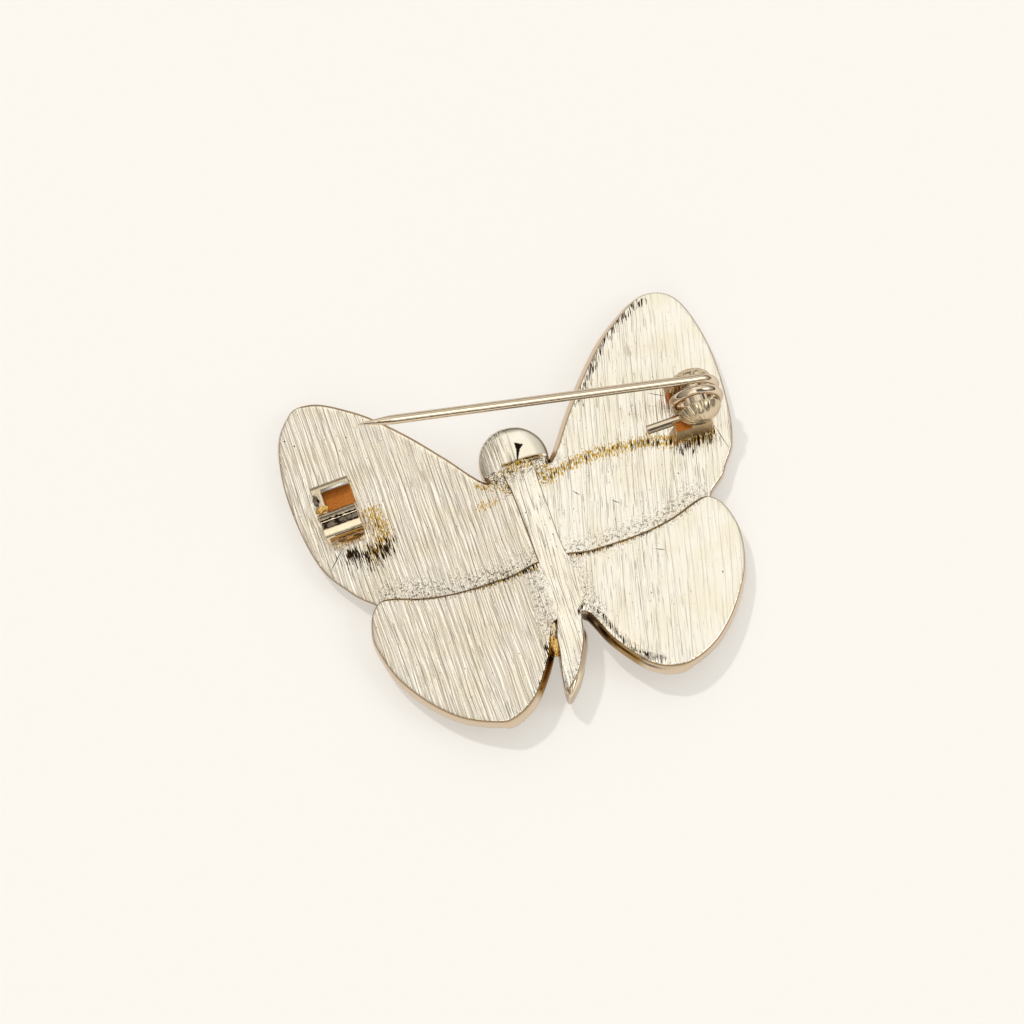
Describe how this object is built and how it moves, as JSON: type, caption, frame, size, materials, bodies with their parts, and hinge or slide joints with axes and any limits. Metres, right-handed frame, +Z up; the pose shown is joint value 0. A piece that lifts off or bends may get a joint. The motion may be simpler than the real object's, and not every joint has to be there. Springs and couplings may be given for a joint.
{
  "type": "insect brooch",
  "caption": "Cast butterfly brooch lying on its face: bevelled wings, bar, ball head and bent tail, with a soldered hook catch and a ribbed hinge that holds a sprung wire pin, standing open.",
  "frame": {"origin": "middle of the brooch's outline with the open pin, at the level of the surface that it lies on", "axes": "+Z up, away from the surface and out of the brooch's back; +Y towards the head; +X towards the wing with the hinge"},
  "size_m": [0.043, 0.0362, 0.0202],
  "materials": {
    "cast_metal": "pale gold plating over a cast surface with brushed grain",
    "wire_metal": "pale gold plating, polished"
  },
  "bodies": {
    "brooch": {"butterfly_casting": "cast_metal", "hinge_rivet": "wire_metal", "spring_tail": "wire_metal"},
    "pin": {"pin_wire": "wire_metal"}
  },
  "joints": [
    {"name": "pin_hinge", "type": "hinge", "parent": "brooch", "child": "pin", "pos_m": [0.0181, 0.00634, 0.00553], "axis": [0, -0.995, 0.1], "range_deg": [0, 27], "stiffness_Nm_per_rad": 0.05}
  ]
}
